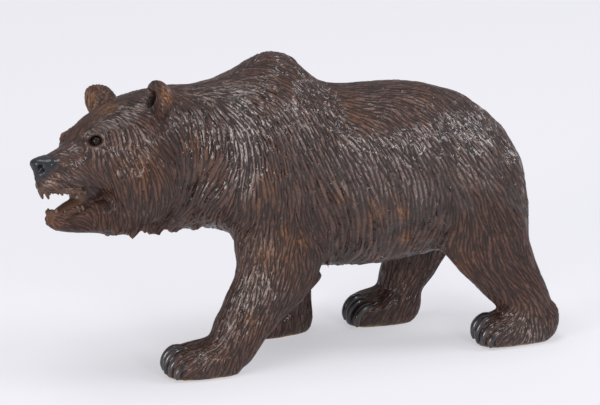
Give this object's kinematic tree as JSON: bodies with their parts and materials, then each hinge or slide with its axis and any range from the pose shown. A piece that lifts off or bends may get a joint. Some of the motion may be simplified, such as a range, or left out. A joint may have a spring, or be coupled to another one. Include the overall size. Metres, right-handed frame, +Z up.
{
  "type": "carved wooden bear",
  "caption": "Stained wooden figure of a bear, carved all over with fur, walking with its head turned and its mouth open, with black glass eyes.",
  "frame": {"origin": "on the ground under the middle of the figure's box, between the soles", "axes": "+Z up; the bear walks towards -X, so +X runs from nose to rump; its left side faces -Y"},
  "size_m": [0.3802, 0.117, 0.2134],
  "materials": {
    "stained_wood": "dark brown stain, satin, worn to orange brown on the ridges of the fur, with black nose and claws",
    "glass_eye": "polished opaque black glass"
  },
  "bodies": {
    "root": {"bear": "stained_wood", "eye_left": "glass_eye", "eye_right": "glass_eye"}
  },
  "joints": []
}
